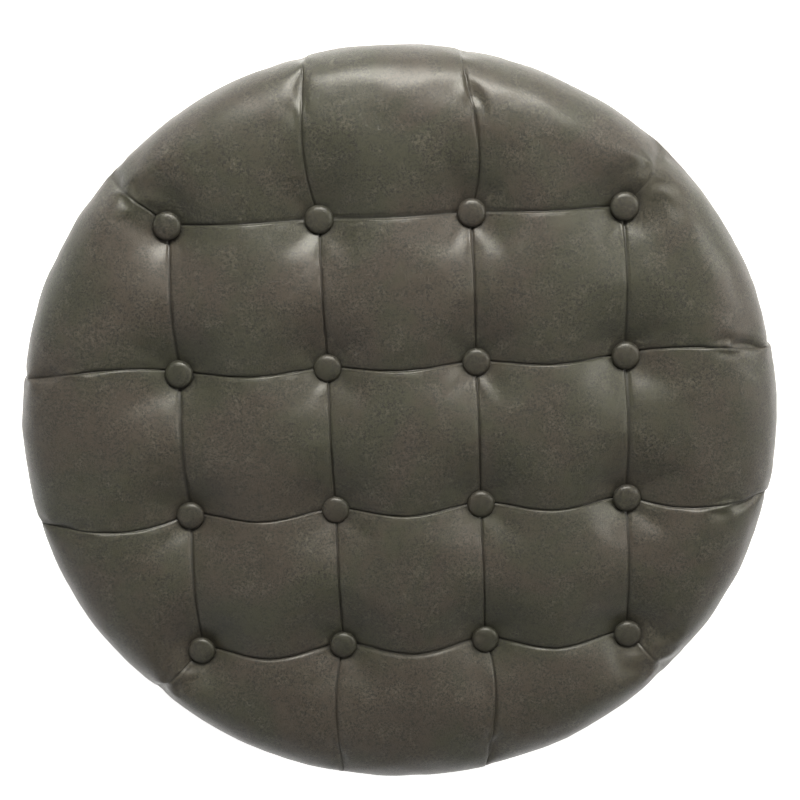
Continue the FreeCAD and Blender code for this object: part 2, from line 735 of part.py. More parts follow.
rim_screws, lid_screws = make_fixings()
foot_bolts, tee_blanks = make_feet()
dust_staples = make_staples()
make_frame(foot_bolts, tee_blanks, dust_staples, rim_screws)
make_upholstery(foot_bolts, dust_staples, rim_screws)
make_lid(lid_screws)
for hand, sign in SIDES.items():
    hinge_leaf(f"hinge_{hand}_rim_leaf", sign, False, rim_screws)
    hinge_leaf(f"hinge_{hand}_lid_leaf", sign, True, lid_screws)
    hinge_pin(f"hinge_{hand}_pin", sign)
    rim_bracket(f"stay_{hand}_rim_bracket", sign, rim_screws)
    lid_bracket(f"stay_{hand}_lid_bracket", sign, lid_screws)
    stud(f"stay_{hand}_stud", sign)
    pivot_rivet(f"stay_{hand}_rivet", sign)
    stay_arm(f"stay_{hand}_arm", sign)

NODES = (
    ["base_panel", "top_ring", "outer_wall", "inner_wall", "side_padding", "side_cover"]
    + ["wall_lining", "floor_lining", "dust_cover", "dust_cover_staples", "rim_bumpers"]
    + [f"post_{n}" for n in range(1, POSTS + 1)]
    + [f"foot_{n}" for n in range(1, FEET + 1)]
    + ["foot_glides", "foot_bolts", "tee_nuts", "rim_screws", "lid_screws"]
    + ["lid_board", "lid_foam", "lid_cover", "lid_lining"]
    + ["tuft_buttons", "tuft_twines", "tuft_washers"]
    + [f"hinge_{h}_{part}" for h in SIDES for part in ("rim_leaf", "lid_leaf", "pin")]
    + [
        f"stay_{h}_{part}"
        for h in SIDES
        for part in ("rim_bracket", "lid_bracket", "stud", "rivet", "arm")
    ]
)

doc.recompute()
for item in doc.Objects:
    if "Invalid" in item.State or "Error" in item.State:
        raise RuntimeError(f"{item.Label} could not be built: {item.State}")

os.makedirs("parts", exist_ok=True)
for name in NODES:
    node = doc.getObject(name)
    node.Label = name
    shape = node.Shape
    if shape.isNull() or not shape.isValid() or not shape.Solids:
        raise RuntimeError(f"{name} is not a valid solid")
    shape.exportStep(f"parts/{name}.step")
    size = shape.BoundBox
    print(f"{name:26s} {len(shape.Solids):3d} solids {shape.Volume / 1000:10.1f} cm3 "
          f"z {size.ZMin:7.2f} to {size.ZMax:7.2f}")
print("lid pivot", round(value("pivot_y"), 4), round(value("pivot_z"), 4))
print("hinge axis", value("axis_y"), value("axis_z"))
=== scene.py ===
# %% [markdown]
# # A round button-tufted ottoman with a storage drum
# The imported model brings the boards, hinges, stays and feet, in metres, with +Z up and the
# hinges at +Y. This lesson adds what a model of plain solids can't show: a soft leather cushion
# pulled in by sixteen buttons, the leather sleeve of the drum, its cloth lining, and a finish for
# every surface. Nothing that comes with the model is moved.

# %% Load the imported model
import math

import bmesh
import bpy
from mathutils import Matrix, Vector, noise
from mathutils.bvhtree import BVHTree


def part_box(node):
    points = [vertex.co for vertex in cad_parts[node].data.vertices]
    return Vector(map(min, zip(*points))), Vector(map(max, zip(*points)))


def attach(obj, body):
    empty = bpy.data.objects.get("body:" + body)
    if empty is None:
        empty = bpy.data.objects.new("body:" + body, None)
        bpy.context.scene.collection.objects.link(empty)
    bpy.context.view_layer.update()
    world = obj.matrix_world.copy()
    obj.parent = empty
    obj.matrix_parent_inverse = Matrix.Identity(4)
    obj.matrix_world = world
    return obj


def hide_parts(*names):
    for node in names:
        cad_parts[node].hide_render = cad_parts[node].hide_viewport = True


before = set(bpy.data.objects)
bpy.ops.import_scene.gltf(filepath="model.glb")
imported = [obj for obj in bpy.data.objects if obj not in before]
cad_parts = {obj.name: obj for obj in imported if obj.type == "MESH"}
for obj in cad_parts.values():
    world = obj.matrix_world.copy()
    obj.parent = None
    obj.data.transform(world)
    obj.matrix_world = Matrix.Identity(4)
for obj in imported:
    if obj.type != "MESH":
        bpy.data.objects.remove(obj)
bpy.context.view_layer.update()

MM = 0.001

# %% [markdown]
# ## Sizes that come from the model
# Each new piece takes its place from the solids that it covers, so it still fits if they change.

# %% Read the sizes of the lid and the drum
cover_low, cover_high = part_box("lid_cover")
board_low, board_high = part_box("lid_board")
button_low, button_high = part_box("tuft_buttons")
sleeve_low, sleeve_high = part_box("side_cover")
ring_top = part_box("top_ring")[1].z
lining_low, lining_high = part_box("wall_lining")

LID_RADIUS = cover_high.x
BOARD_RADIUS = board_high.x
LEATHER = board_low.z - cover_low.z
FOOT_RADIUS = BOARD_RADIUS + LEATHER
HEM_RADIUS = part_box("lid_lining")[1].x
CROWN = cover_high.z
BUTTON_RADIUS = 14.3 * MM
BUTTON_SEAT = button_low.z
HALF = (button_high.x - button_low.x) / 2 - BUTTON_RADIUS
TUFT_MIDDLE = (button_low + button_high) / 2 * Vector((1, 1, 0))
TUFTS = 4
PITCH = 2 * HALF / (TUFTS - 1)
SHOULDER = 48 * MM
SWELL = 30 * MM
print(f"lid radius {LID_RADIUS:.4f}, tufts {PITCH:.4f} apart")

# %% [markdown]
# ## Camera
# The view is from nearly straight above, leaning a little towards the hinges. A camera that
# hasn't been turned looks straight down with +Y up, so three small turns are enough.

# %% Place the camera
LENS = 67.5
DISTANCE = 1.491
AIM = TUFT_MIDDLE + Vector((-3.4, 38.6, 0)) * MM + Vector((0, 0, BUTTON_SEAT + 5 * MM))
LEAN, SWING, ROLL = (math.radians(degrees) for degrees in (14.25, 3.4, 0.9))

turn = Matrix.Rotation(-SWING, 4, "Z") @ Matrix.Rotation(-LEAN, 4, "X") @ Matrix.Rotation(ROLL, 4, "Z")
camera_data = bpy.data.cameras.new("camera")
camera_data.lens = LENS
camera = bpy.data.objects.new("camera", camera_data)
camera.matrix_world = Matrix.Translation(AIM) @ turn @ Matrix.Translation((0, 0, DISTANCE))
bpy.context.scene.collection.objects.link(camera)
bpy.context.scene.camera = camera
print("camera at", [round(c, 3) for c in camera.matrix_world.translation])

# %% [markdown]
# ## Shader sums as Python
# A finish is a small tree of nodes. Wiring it by hand hides the sums, so a socket is wrapped in
# a class that adds its own Math nodes: `1 - mask * 0.3` then reads as what it does. A colour
# can't pass through a Math node without turning grey, so colours have their own blend.


# %% Wrap a socket, and make finishes
class Value:
    """A number that varies over a surface and can stand in a sum."""

    def __init__(self, finish, socket):
        self.finish = finish
        self.socket = socket

    def _sum(self, operation, first, second):
        return self.finish.node("Math", {"operation": operation}, {0: first, 1: second})

    def __add__(self, other):
        return self._sum("ADD", self, other)

    def __sub__(self, other):
        return self._sum("SUBTRACT", self, other)

    def __rsub__(self, other):
        return self._sum("SUBTRACT", other, self)

    def __mul__(self, other):
        return self._sum("MULTIPLY", self, other)

    __radd__ = __add__
    __rmul__ = __mul__

    def sine(self):
        return self.finish.node("Math", {"operation": "SINE"}, {0: self})

    def between(self, low, high):
        """0 at low and under, 1 at high and over, with soft ends."""
        settings = {"interpolation_type": "SMOOTHSTEP"}
        sockets = {"Value": self, "From Min": low, "From Max": high}
        return self.finish.node("MapRange", settings, sockets)


class Finish:
    """One material, built one node at a time."""

    def __init__(self, name, **uniform):
        self.material = bpy.data.materials.new(name)
        self.material.use_nodes = True
        self.tree = self.material.node_tree
        self.shader = self.tree.nodes["Principled BSDF"]
        self.set(**uniform)
        self.place = self.node("TexCoord", {}, {}, "Object")

    def set(self, **values):
        """Sets or links sockets of the shader: roughness=0.5 sets Roughness."""
        for name, value in values.items():
            self._feed(self.shader.inputs[name.replace("_", " ").title()], value)

    def _feed(self, socket, value):
        if isinstance(value, Value):
            self.tree.links.new(value.socket, socket)
        elif isinstance(value, (tuple, list)) and socket.type == "RGBA":
            socket.default_value = (*value, 1)
        else:
            socket.default_value = value

    def node(self, kind, settings, inputs, output=0):
        """Adds a node: its settings first, then its sockets."""
        node = self.tree.nodes.new("ShaderNode" + kind)
        for name, value in settings.items():
            setattr(node, name, value)
        for name, value in inputs.items():
            self._feed(node.inputs[name], value)
        return Value(self, node.outputs[output])

    def cloud(self, scale, detail=3, rough=0.5, warp=0.0, stretch=(1, 1, 1)):
        """Soft noise from 0 to 1: scale is lumps per metre, stretch squeezes it along an axis."""
        where = self.node("Mapping", {}, {"Vector": self.place, "Scale": stretch})
        settings = {"normalize": True}
        sockets = {"Vector": where, "Scale": scale, "Detail": detail, "Roughness": rough}
        return self.node("TexNoise", settings, {**sockets, "Distortion": warp})

    def pebbles(self, scale):
        """Cells like the grain of leather: the distance to their edges."""
        settings = {"feature": "DISTANCE_TO_EDGE"}
        return self.node("TexVoronoi", settings, {"Vector": self.place, "Scale": scale})

    def axis(self, name):
        """How far a point lies along X, Y or Z, in metres."""
        return self.node("SeparateXYZ", {}, {"Vector": self.place}, name)

    def painted(self, name):
        """A number kept on the mesh's own points."""
        return self.node("Attribute", {"attribute_name": name}, {}, "Fac")

    def blend(self, factor, first, second):
        """A colour between two colours."""
        settings = {"data_type": "RGBA", "blend_type": "MIX"}
        return self.node("Mix", settings, {"Factor": factor, 6: first, 7: second}, 2)

    def bump(self, height, depth, under=None):
        """Small relief: depth is in metres."""
        sockets = {"Height": height, "Distance": depth, "Strength": 1.0}
        if under:
            sockets["Normal"] = under
        return self.node("Bump", {}, sockets)


print("finishes ready")

# %% [markdown]
# ## The leather
# The real hide is bonded leather that has been rubbed back by hand: olive grey drifts into
# brown over a hand's width, fine cracks and pebbles break it up close to, and the crowns are
# paler from wear and glossier than the folds, which are darkened with painted shade. Layers of
# noise give the drift and the wear, cells give the pebbles, and a number kept on each mesh,
# `fold`, says where the leather sinks and how much painted shade darkens it there.


# %% Distressed leather
OLIVE = (0.034, 0.034, 0.018)
BROWN = (0.045, 0.035, 0.024)
PALE = (0.120, 0.110, 0.082)
# The colour of the dark grain flecks, and of the painted shade in folds, seams and button seats.
DARK_GRAIN_AND_FOLD_SHADE = (0.008, 0.007, 0.005)
GRAIN_RELIEF = 0.22 * MM
WEAR_RELIEF = 0.5 * MM


def leather(name, lift=1.0, gloss=0.4):
    """The object's leather. lift makes it lighter, and gloss is its roughness."""
    olive, brown, pale, dark_grain_and_fold_shade = (
        tuple(channel * lift for channel in colour) for colour in (OLIVE, BROWN, PALE, DARK_GRAIN_AND_FOLD_SHADE)
    )
    finish = Finish(name)
    fold = finish.painted("fold")
    drift = finish.cloud(9, detail=4, rough=0.6, warp=0.6)
    patch = finish.cloud(45, detail=6, rough=0.7, warp=0.5)
    speck = finish.cloud(330, detail=4, rough=0.75)
    grain = finish.cloud(400, detail=4, rough=0.85)
    crack = finish.cloud(760, detail=2, rough=0.8, stretch=(1, 0.5, 1))
    pebble = finish.pebbles(950)

    colour = finish.blend(drift.between(0.38, 0.62), olive, brown)
    rubbed = patch.between(0.44, 0.74) * speck.between(0.36, 0.64) * (1 - fold)
    colour = finish.blend(rubbed * 0.6, colour, pale)
    colour = finish.blend(grain.between(0.46, 0.58) * patch.between(0.3, 0.55) * 0.9, colour, dark_grain_and_fold_shade)
    # Painted shade: the leather darkens where the `fold` number is high, which is along folds and seams,
    # round button seats and on the buttons' necks.
    colour = finish.blend(fold * 0.7, colour, dark_grain_and_fold_shade)
    rough = gloss + patch * 0.14 - rubbed * 0.08 + fold * 0.2

    fine = finish.bump(pebble.between(0.0, 0.25) + crack * 0.8, GRAIN_RELIEF)
    relief = finish.bump(patch * 0.5 + speck * 0.5, WEAR_RELIEF, fine)
    finish.set(base_color=colour, roughness=rough, normal=relief)
    finish.set(coat_weight=0.5, coat_roughness=0.35)
    return finish.material


hide = leather("distressed_leather")
button_hide = leather("button_leather", lift=0.8, gloss=0.38)
print("leather ready")

# %% [markdown]
# ## The cushion's shape before it is filled
# A cushion like this is sewn flat, laid over foam, and pulled down by twine through sixteen
# buttons. Its folds run from button to button and on to the rim, so the mesh should have edges
# along them. A square grid covers the buttons, and rings of the same edges are drawn out from
# its border to the round rim and under the board: every fold then has its own line of edges.
#
# Four values stay with each point. `home` is its place in the square, or the border point that
# it was drawn from. `along_a` and `along_b` say how many pitches home lies from the middle, and
# `reach` is 0 inside the square, 1 at the widest line and more underneath.

# %% Draw the outline that the cushion is turned from
TOP_FLAT = LID_RADIUS - SHOULDER
DOME = 5 * MM
SIDE_TOP = CROWN - SHOULDER
SWELL_TOP = cover_low.z + 45 * MM
WIDEST = TOP_FLAT + SHOULDER * math.pi / 2


def outline(distance, angle):
    """A point of the plain cushion, that far over the leather from the middle of its top."""
    if distance < TOP_FLAT:
        radius, height = distance, CROWN - DOME * (distance / TOP_FLAT) ** 2
    else:
        bend = (distance - TOP_FLAT) / SHOULDER
        radius = TOP_FLAT + SHOULDER * math.sin(bend)
        height = SIDE_TOP + (SHOULDER - DOME) * math.cos(bend)
    return Vector((radius * math.cos(angle), radius * math.sin(angle), height))


def underneath():
    """(radius, height) of the rings from the widest line to the middle of the board's top."""
    yield LID_RADIUS, SWELL_TOP + 3 * MM
    for step in range(1, 8):
        bend = step / 8 * math.pi / 2
        yield LID_RADIUS - SWELL * (1 - math.cos(bend)), SWELL_TOP - SWELL * math.sin(bend)
    for height in (board_high.z - 2 * MM, board_low.z + 7 * MM, board_low.z + 1 * MM):
        yield FOOT_RADIUS, height
    yield FOOT_RADIUS - 1 * MM, cover_low.z
    for radius in (FOOT_RADIUS - 10 * MM, FOOT_RADIUS - 20 * MM, HEM_RADIUS + 0.5 * MM):
        yield radius, cover_low.z
    yield HEM_RADIUS + 0.5 * MM, board_low.z
    yield BOARD_RADIUS, board_low.z
    yield BOARD_RADIUS, board_high.z
    yield BOARD_RADIUS * 0.5, board_high.z


print(f"{len(list(underneath()))} rings underneath")

# %% [markdown]
# The loops of edges are gathered towards the folds, where the shape turns quickly, and left
# wide on the crowns. A sine does that without moving the folds themselves.

# %% Make the mesh of grid and rings
STEPS = 24
RINGS = 26
GATHER = 0.72
STRAIGHT_OUT = 0.285
SAG = 2.4 * MM
SAG_ENDS = 0.6


def gathered(position):
    """Moves a loop towards the nearest fold. The folds lie at half pitches from the middle."""
    turns = position / PITCH + 0.5
    return position - GATHER * PITCH * math.sin(2 * math.pi * turns) / (2 * math.pi)


def sag(a, b):
    """How far the loose leather hangs towards the front between two buttons of a row."""
    loose = max(0.0, min(3.0, 1.5 - b)) * SAG
    return loose * math.cos(math.pi * (a - round(a))) ** 2 if abs(a) < 1.5 else 0.0


def rim_angles(home):
    """The direction of a border point from the middle, and of the rim point that it is drawn to."""
    start = math.atan2(home.y + TUFT_MIDDLE.y, home.x + TUFT_MIDDLE.x)
    quarter = round(math.atan2(home.y, home.x) / (math.pi / 2)) * math.pi / 2
    share = (Matrix.Rotation(-quarter, 2) @ home.xy).y / HALF
    rim = quarter + math.pi / 4 * (share - STRAIGHT_OUT * (share - share**3))
    return start, start + math.remainder(rim - start, 2 * math.pi)


def cushion_blank():
    """The cushion without its folds, still open on the board, and the layers that place each point."""
    bm = bmesh.new()
    home, along_a, along_b, reach = (
        bm.verts.layers.float_vector.new("home"),
        *(bm.verts.layers.float.new(name) for name in ("along_a", "along_b", "reach")),
    )
    bmesh.ops.create_grid(bm, x_segments=STEPS * 3, y_segments=STEPS * 3, size=HALF)
    for v in bm.verts:
        v[home] = (gathered(v.co.x), gathered(v.co.y), 0)
        v[along_a], v[along_b] = v[home].x / PITCH, v[home].y / PITCH
        plan = v[home] + TUFT_MIDDLE
        v.co = outline(plan.length, math.atan2(plan.y, plan.x))
    rings = [ring / RINGS for ring in range(1, RINGS + 1)]
    under = list(underneath())
    border = [e for e in bm.edges if e.is_boundary]
    for number in range(len(rings) + len(under)):
        made = bmesh.ops.extrude_edge_only(bm, edges=border)["geom"]
        border = [g for g in made if isinstance(g, bmesh.types.BMEdge) and g.is_boundary]
        for v in (g for g in made if isinstance(g, bmesh.types.BMVert)):
            start, rim = rim_angles(v[home])
            if number < len(rings):
                v[reach] = rings[number]
                ease = v[reach] * v[reach] * (3 - 2 * v[reach])
                inside = (v[home] + TUFT_MIDDLE).length
                distance = inside + (WIDEST - inside) * v[reach]
                v.co = outline(distance, start + (rim - start) * ease)
            else:
                radius, height = under[number - len(rings)]
                v[reach] = 1 + (number - len(rings) + 1) / len(under)
                v.co = (radius * math.cos(rim), radius * math.sin(rim), height)
    for v in bm.verts:
        ease = max(0.0, 1 - v[reach] / SAG_ENDS)
        v.co.y -= sag(v[along_a], v[along_b]) * ease
    bmesh.ops.recalc_face_normals(bm, faces=bm.faces)
    return bm


blank = cushion_blank()
print(len(blank.verts), "points,", len(blank.faces), "faces")

# %% [markdown]
# ## Pull the folds and buttons in
# Between two folds the foam pushes the leather into a pillow. The pillow is nearly flat on top
# and falls fast beside a fold, so a high power of the distance from its middle is the right
# curve. Folds that run out to the rim grow shallower on the way.

# %% Lower the folds and seats
FOLD_DEPTH = 9 * MM
FOLD_SPREAD = 48 * MM
FOLD_EVERYWHERE, FOLD_NEAR = 0.55, 0.45
SEAT_POWER = 1.7
FADE_POWER = 1.4
PILLOW_POWER = 2.3
SEAT_WIDTH = 41 * MM
SEAT_DEPTH = CROWN - BUTTON_SEAT - FOLD_DEPTH
CORNER_STRENGTH = {(-1, 1): 1.0, (1, 1): 0.3, (-1, -1): 0.9, (1, -1): 0.5}


def off_fold(along):
    """How far a point is from the nearest fold line, in pitches, from 0 to a half."""
    return abs(along - 0.5 - round(along - 0.5))


def pillow(off):
    """0 on a fold and 1 midway between two folds."""
    return 1 - (1 - 2 * off) ** PILLOW_POWER


class Spot:
    """Where a point of the cushion lies among its folds and buttons."""

    def __init__(self, v, layers):
        plan = v.co - TUFT_MIDDLE
        self.reach = v[layers["reach"]]
        home = v[layers["home"]]
        self.a, self.b = v[layers["along_a"]], v[layers["along_b"]]
        self.outside = self.reach > 0
        self.strength = 1.0
        if self.outside:
            running = self.b if abs(home.x) >= abs(home.y) else self.a
            self.fold = off_fold(running)
            self.out = min(0.5, self.reach * (WIDEST - (home + TUFT_MIDDLE).length) / PITCH)
            if abs(running) > 1:
                corner = tuple(int(math.copysign(1, c)) for c in home.xy)
                self.strength = CORNER_STRENGTH[corner]
            self.fade = self.strength * max(0.0, 1 - self.reach) ** FADE_POWER
        nearest = (min(max(round(c / PITCH - 0.5), -2), 1) + 0.5 for c in plan.xy)
        self.from_button = (plan.xy - Vector([c * PITCH for c in nearest])).length

    def lowering(self):
        """How far the leather is pulled in here, in metres."""
        if self.outside:
            depth = 1 - pillow(self.out) * (1 - (1 - pillow(self.fold)) * self.fade)
        else:
            depth = 1 - pillow(off_fold(self.a)) * pillow(off_fold(self.b))
        near = math.exp(-((self.from_button / FOLD_SPREAD) ** 2))
        seat = math.exp(-((self.from_button / SEAT_WIDTH) ** SEAT_POWER))
        return FOLD_DEPTH * depth * (FOLD_EVERYWHERE + FOLD_NEAR * near) + SEAT_DEPTH * seat


def layer_table(bm):
    layers = {"home": bm.verts.layers.float_vector["home"]}
    for name in ("along_a", "along_b", "reach"):
        layers[name] = bm.verts.layers.float[name]
    return layers


def pull_in(bm):
    """Moves every point above the widest line down, or inwards at the rim, by its lowering."""
    bm.normal_update()
    layers = layer_table(bm)
    moves = []
    for v in bm.verts:
        if v[layers["reach"]] < 1:
            spot = Spot(v, layers)
            moves.append((v, v.normal * -spot.lowering()))
    for v, move in moves:
        v.co += move


pull_in(blank)
print("lowest point of the top", round(min(v.co.z for v in blank.verts if v.co.xy.length < HALF), 4))

# %% [markdown]
# ## Fill the cushion
# Blender's cloth solver finds the shape that the leather settles into when the foam presses on
# it. The seats, the foot and the underside are held, the folds are held less tightly, and a
# gentle pressure fills the rest. The result is kept within a few millimetres of the blank,
# because the foam is cut to that shape.

# %% Fill it with the cloth solver
MOST_MOVE = 9 * MM
FRAMES = 20
UNDERSIDE = 1.3
HELD_TO = 0.6
SEAT_MARGIN = 2 * MM
ON_FOLD = 1 * MM
FOLD_HOLD = 0.7


def holding(v, layers):
    """How firmly a point is held, from 0 to 1."""
    reach = v[layers["reach"]]
    if reach > UNDERSIDE:
        return 1.0
    spot = Spot(v, layers)
    if spot.from_button < BUTTON_RADIUS + SEAT_MARGIN:
        return 1.0
    if spot.outside:
        on_fold = spot.fold * PITCH < ON_FOLD and reach < HELD_TO
    else:
        on_fold = min(off_fold(spot.a), off_fold(spot.b)) * PITCH < ON_FOLD
    return FOLD_HOLD if on_fold else 0.0


def fill(piece):
    """Runs the solver on a copy, and brings its points back, no further than MOST_MOVE."""
    bm = bmesh.new()
    bm.from_mesh(piece.data)
    layers = layer_table(bm)
    holds = [holding(v, layers) for v in bm.verts]
    bm.free()
    work = piece.copy()
    work.data = piece.data.copy()
    bpy.context.scene.collection.objects.link(work)
    group = work.vertex_groups.new(name="held")
    for index, weight in enumerate(holds):
        group.add([index], weight, "REPLACE")
    cloth = work.modifiers.new("filling", "CLOTH")
    cloth.settings.vertex_group_mass = "held"
    cloth.settings.quality = 6
    cloth.settings.mass = 0.25
    cloth.settings.tension_stiffness = 22
    cloth.settings.compression_stiffness = 12
    cloth.settings.shear_stiffness = 8
    cloth.settings.bending_stiffness = 1.2
    cloth.settings.pin_stiffness = 1.5
    cloth.settings.use_pressure = True
    cloth.settings.uniform_pressure_force = 4
    cloth.settings.shrink_min = -0.012
    cloth.settings.effector_weights.gravity = 0
    cloth.collision_settings.use_collision = False
    cloth.point_cache.frame_start, cloth.point_cache.frame_end = 1, FRAMES
    for frame_number in range(1, FRAMES + 1):
        bpy.context.scene.frame_set(frame_number)
    settled = work.evaluated_get(bpy.context.evaluated_depsgraph_get()).to_mesh()
    farthest = 0
    for before, after in zip(piece.data.vertices, settled.vertices):
        move = after.co - before.co
        farthest = max(farthest, move.length)
        if move.length > MOST_MOVE:
            move *= MOST_MOVE / move.length
        before.co += move
    bpy.data.objects.remove(work)
    bpy.context.scene.frame_set(1)
    return farthest


def piece_from(bm, name):
    """Ends a bmesh as a smooth object of that name."""
    mesh = bpy.data.meshes.new(name)
    bm.to_mesh(mesh)
    bm.free()
    mesh.polygons.foreach_set("use_smooth", [True] * len(mesh.polygons))
    piece = bpy.data.objects.new(name, mesh)
    bpy.context.scene.collection.objects.link(piece)
    return piece


cushion = piece_from(blank, "tufted_cushion")
print(f"filled: the farthest point moved {fill(cushion) / MM:.1f} mm")

# %% Refine it once
refine = cushion.modifiers.new("refine", "SUBSURF")
refine.levels = refine.render_levels = 1
refined = bpy.data.meshes.new_from_object(
    cushion.evaluated_get(bpy.context.evaluated_depsgraph_get()),
    preserve_all_data_layers=True,
    depsgraph=bpy.context.evaluated_depsgraph_get(),
)
cushion.modifiers.clear()
cushion.data = refined
print(len(refined.polygons), "faces after refining")

# %% [markdown]
# ## Sew the folds, and crease the leather
# A fold is a narrow pleat: the leather dips sharply, and the lip beside it stands a little
# proud. The mesh has a line of edges along each fold, so the dip is a vertex move along the
# normal, sharp on the line and gone within a few millimetres. The same step sets the `fold`
# number, which darkens the leather as painted shade along each fold and in a ring round each
# button seat.

# %% Crease the folds
CREASE_DEPTH = 2.0 * MM
CREASE_WIDTH = 0.75 * MM
LIP = 0.5 * MM
LIP_OFF = 2.4
CREASE_END, CREASE_FADE = 1.15, 0.7
# The width of the ring of painted shade round each button seat.
SEAT_SHADE_WIDTH = 2.5 * MM


def from_line(spot):
    """(signed distance from the nearest fold line in metres, how strong the fold is there)."""
    def signed(along):
        return (along - 0.5 - round(along - 0.5)) * PITCH

    if not spot.outside:
        return min(signed(spot.a), signed(spot.b), key=abs), 1.0
    if spot.out < spot.fold:
        return spot.out * PITCH, 1.0
    running_out = max(0.0, min(1.0, CREASE_END - spot.reach)) ** CREASE_FADE
    return spot.fold * PITCH, spot.strength * running_out


def crease(piece):
    """Cuts the folds in, adds small wrinkles, and sets the painted shade of each point: dark along the folds
    and in a ring round each button seat.
    """
    bm = bmesh.new()
    bm.from_mesh(piece.data)
    bm.normal_update()
    layers = layer_table(bm)
    painted = bm.verts.layers.float.new("fold")
    moves = []
    for v in bm.verts:
        spot = Spot(v, layers)
        away, strength = from_line(spot)
        dip = math.exp(-((away / CREASE_WIDTH) ** 2)) * strength
        lip = math.exp(-(((away + LIP_OFF * CREASE_WIDTH) / CREASE_WIDTH) ** 2)) * strength
        # The ring of painted shade round each button seat.
        ring = math.exp(-(((spot.from_button - BUTTON_RADIUS) / SEAT_SHADE_WIDTH) ** 2))
        lumps = noise.noise(v.co * 24) * 1.1 + noise.noise(v.co * 60) * 0.45
        lumps += noise.noise(v.co * 150) * 0.12
        if spot.reach > UNDERSIDE:
            lumps = 0
        moves.append((v, v.normal * (LIP * lip - CREASE_DEPTH * dip + lumps * MM)))
        # Painted shade: the fold lines and the ring round each button seat darken the leather through this
        # number.
        v[painted] = min(1.0, max(dip, ring * 0.8))
    for v, move in moves:
        v.co += move
    bmesh.ops.holes_fill(bm, edges=[e for e in bm.edges if e.is_boundary], sides=0)
    bmesh.ops.recalc_face_normals(bm, faces=bm.faces)
    bm.to_mesh(piece.data)
    bm.free()


crease(cushion)
cushion.data.materials.clear()
cushion.data.materials.append(hide)
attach(cushion, "lid")
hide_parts("lid_cover", "lid_foam")
print("cushion box", [round(c, 4) for c in cushion.dimensions])

# %% [markdown]
# ## Covered buttons
# Each is a steel shell with leather crimped over it: a flat dome, a tight round edge and a
# short neck. A full spin of half an outline makes it.

# %% Spin sixteen buttons
BUTTON_DOME = ((0, 8.0), (5, 7.8), (9.5, 7.2), (12.2, 6.1), (13.8, 4.3))
BUTTON_OUTLINE = (*BUTTON_DOME, (14.2, 2.4), (13.6, 0.9), (12, 0.2), (0, 0.2))


def spun(points, steps=48):
    """A closed piece turned from (radius, height) points, which begin and end on the axis."""
    bm = bmesh.new()
    chain = [bm.verts.new((radius, 0, height)) for radius, height in points]
    edges = [bm.edges.new(pair) for pair in zip(chain, chain[1:])]
    bmesh.ops.spin(
        bm, geom=chain + edges, cent=(0, 0, 0), axis=(0, 0, 1), angle=2 * math.pi, steps=steps, use_merge=True
    )
    bmesh.ops.remove_doubles(bm, verts=bm.verts, dist=1e-6)
    bmesh.ops.recalc_face_normals(bm, faces=bm.faces)
    return bm


def tuft_places():
    """(row, column, x, y) of each button. Row 1 is at the back, and column 1 on the left."""
    for row in range(TUFTS):
        for column in range(TUFTS):
            yield row + 1, column + 1, column * PITCH - HALF, HALF - row * PITCH


for row, column, x, y in tuft_places():
    bm = spun([(radius * MM, height * MM) for radius, height in BUTTON_OUTLINE])
    x, y = x + TUFT_MIDDLE.x, y + TUFT_MIDDLE.y
    # Painted shade: the button's edge and neck, low on the spin, get a high `fold` number, which darkens the
    # leather there.
    fold = bm.verts.layers.float.new("fold")
    for v in bm.verts:
        v[fold] = max(0.0, min(1.0, 1.2 - v.co.z / (5 * MM)))
    tip = Matrix.Rotation(math.radians(3 * noise.noise((x, y, 0.3))), 4, "X")
    bmesh.ops.transform(bm, matrix=Matrix.Translation((x, y, BUTTON_SEAT)) @ tip, verts=bm.verts)
    button = piece_from(bm, f"tuft_button_{row}_{column}")
    smooth = button.modifiers.new("smooth", "SUBSURF")
    smooth.levels = smooth.render_levels = 1
    button.data.materials.append(button_hide)
    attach(button, "lid")
    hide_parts("tuft_buttons")
print(TUFTS**2, "buttons")

# %% [markdown]
# ## The leather sleeve of the drum
# The drum's side is four panels of the same leather over a thin padding, joined by flat seams.
# The leather turns over the rim, and under the foot. A closed outline spun round the axis gives
# sleeve and padding as one piece. Its loops are gathered towards the four seams, like the
# cushion's towards its folds, so that a seam can be narrow.

# %% Spin the sleeve
SLEEVE_STEPS = 240
PANELS = 4
EDGE = 7 * MM
HEM = 34 * MM
SEAM_TURN = math.radians(90)
PANEL = 2 * math.pi / PANELS
SEAM_GATHER = 0.85


def arc(centre, radius, start, end, steps=6):
    """Points of an arc in the (radius, height) plane, with its angles in degrees."""
    for step in range(steps + 1):
        angle = math.radians(start + (end - start) * step / steps)
        yield centre[0] + radius * math.cos(angle), centre[1] + radius * math.sin(angle)


def straight(first, last, steps):
    """Points between two corners, without the corners."""
    for step in range(1, steps):
        share = step / steps
        yield first[0] + (last[0] - first[0]) * share, first[1] + (last[1] - first[1]) * share


def ring_from(points, steps):
    """A closed ring: an outline of (radius, height) points that stays off the axis, spun once."""
    bm = bmesh.new()
    chain = [bm.verts.new((radius, 0, height)) for radius, height in points]
    edges = [bm.edges.new(pair) for pair in zip(chain, chain[1:] + chain[:1])]
    bmesh.ops.spin(
        bm, geom=chain + edges, cent=(0, 0, 0), axis=(0, 0, 1), angle=2 * math.pi, steps=steps, use_merge=True
    )
    bmesh.ops.remove_doubles(bm, verts=bm.verts, dist=1e-6)
    bmesh.ops.recalc_face_normals(bm, faces=bm.faces)
    return bm


def from_seam(v):
    """The signed angle from the nearest seam of the sleeve."""
    return math.remainder(math.atan2(v.co.y, v.co.x) - SEAM_TURN, PANEL)


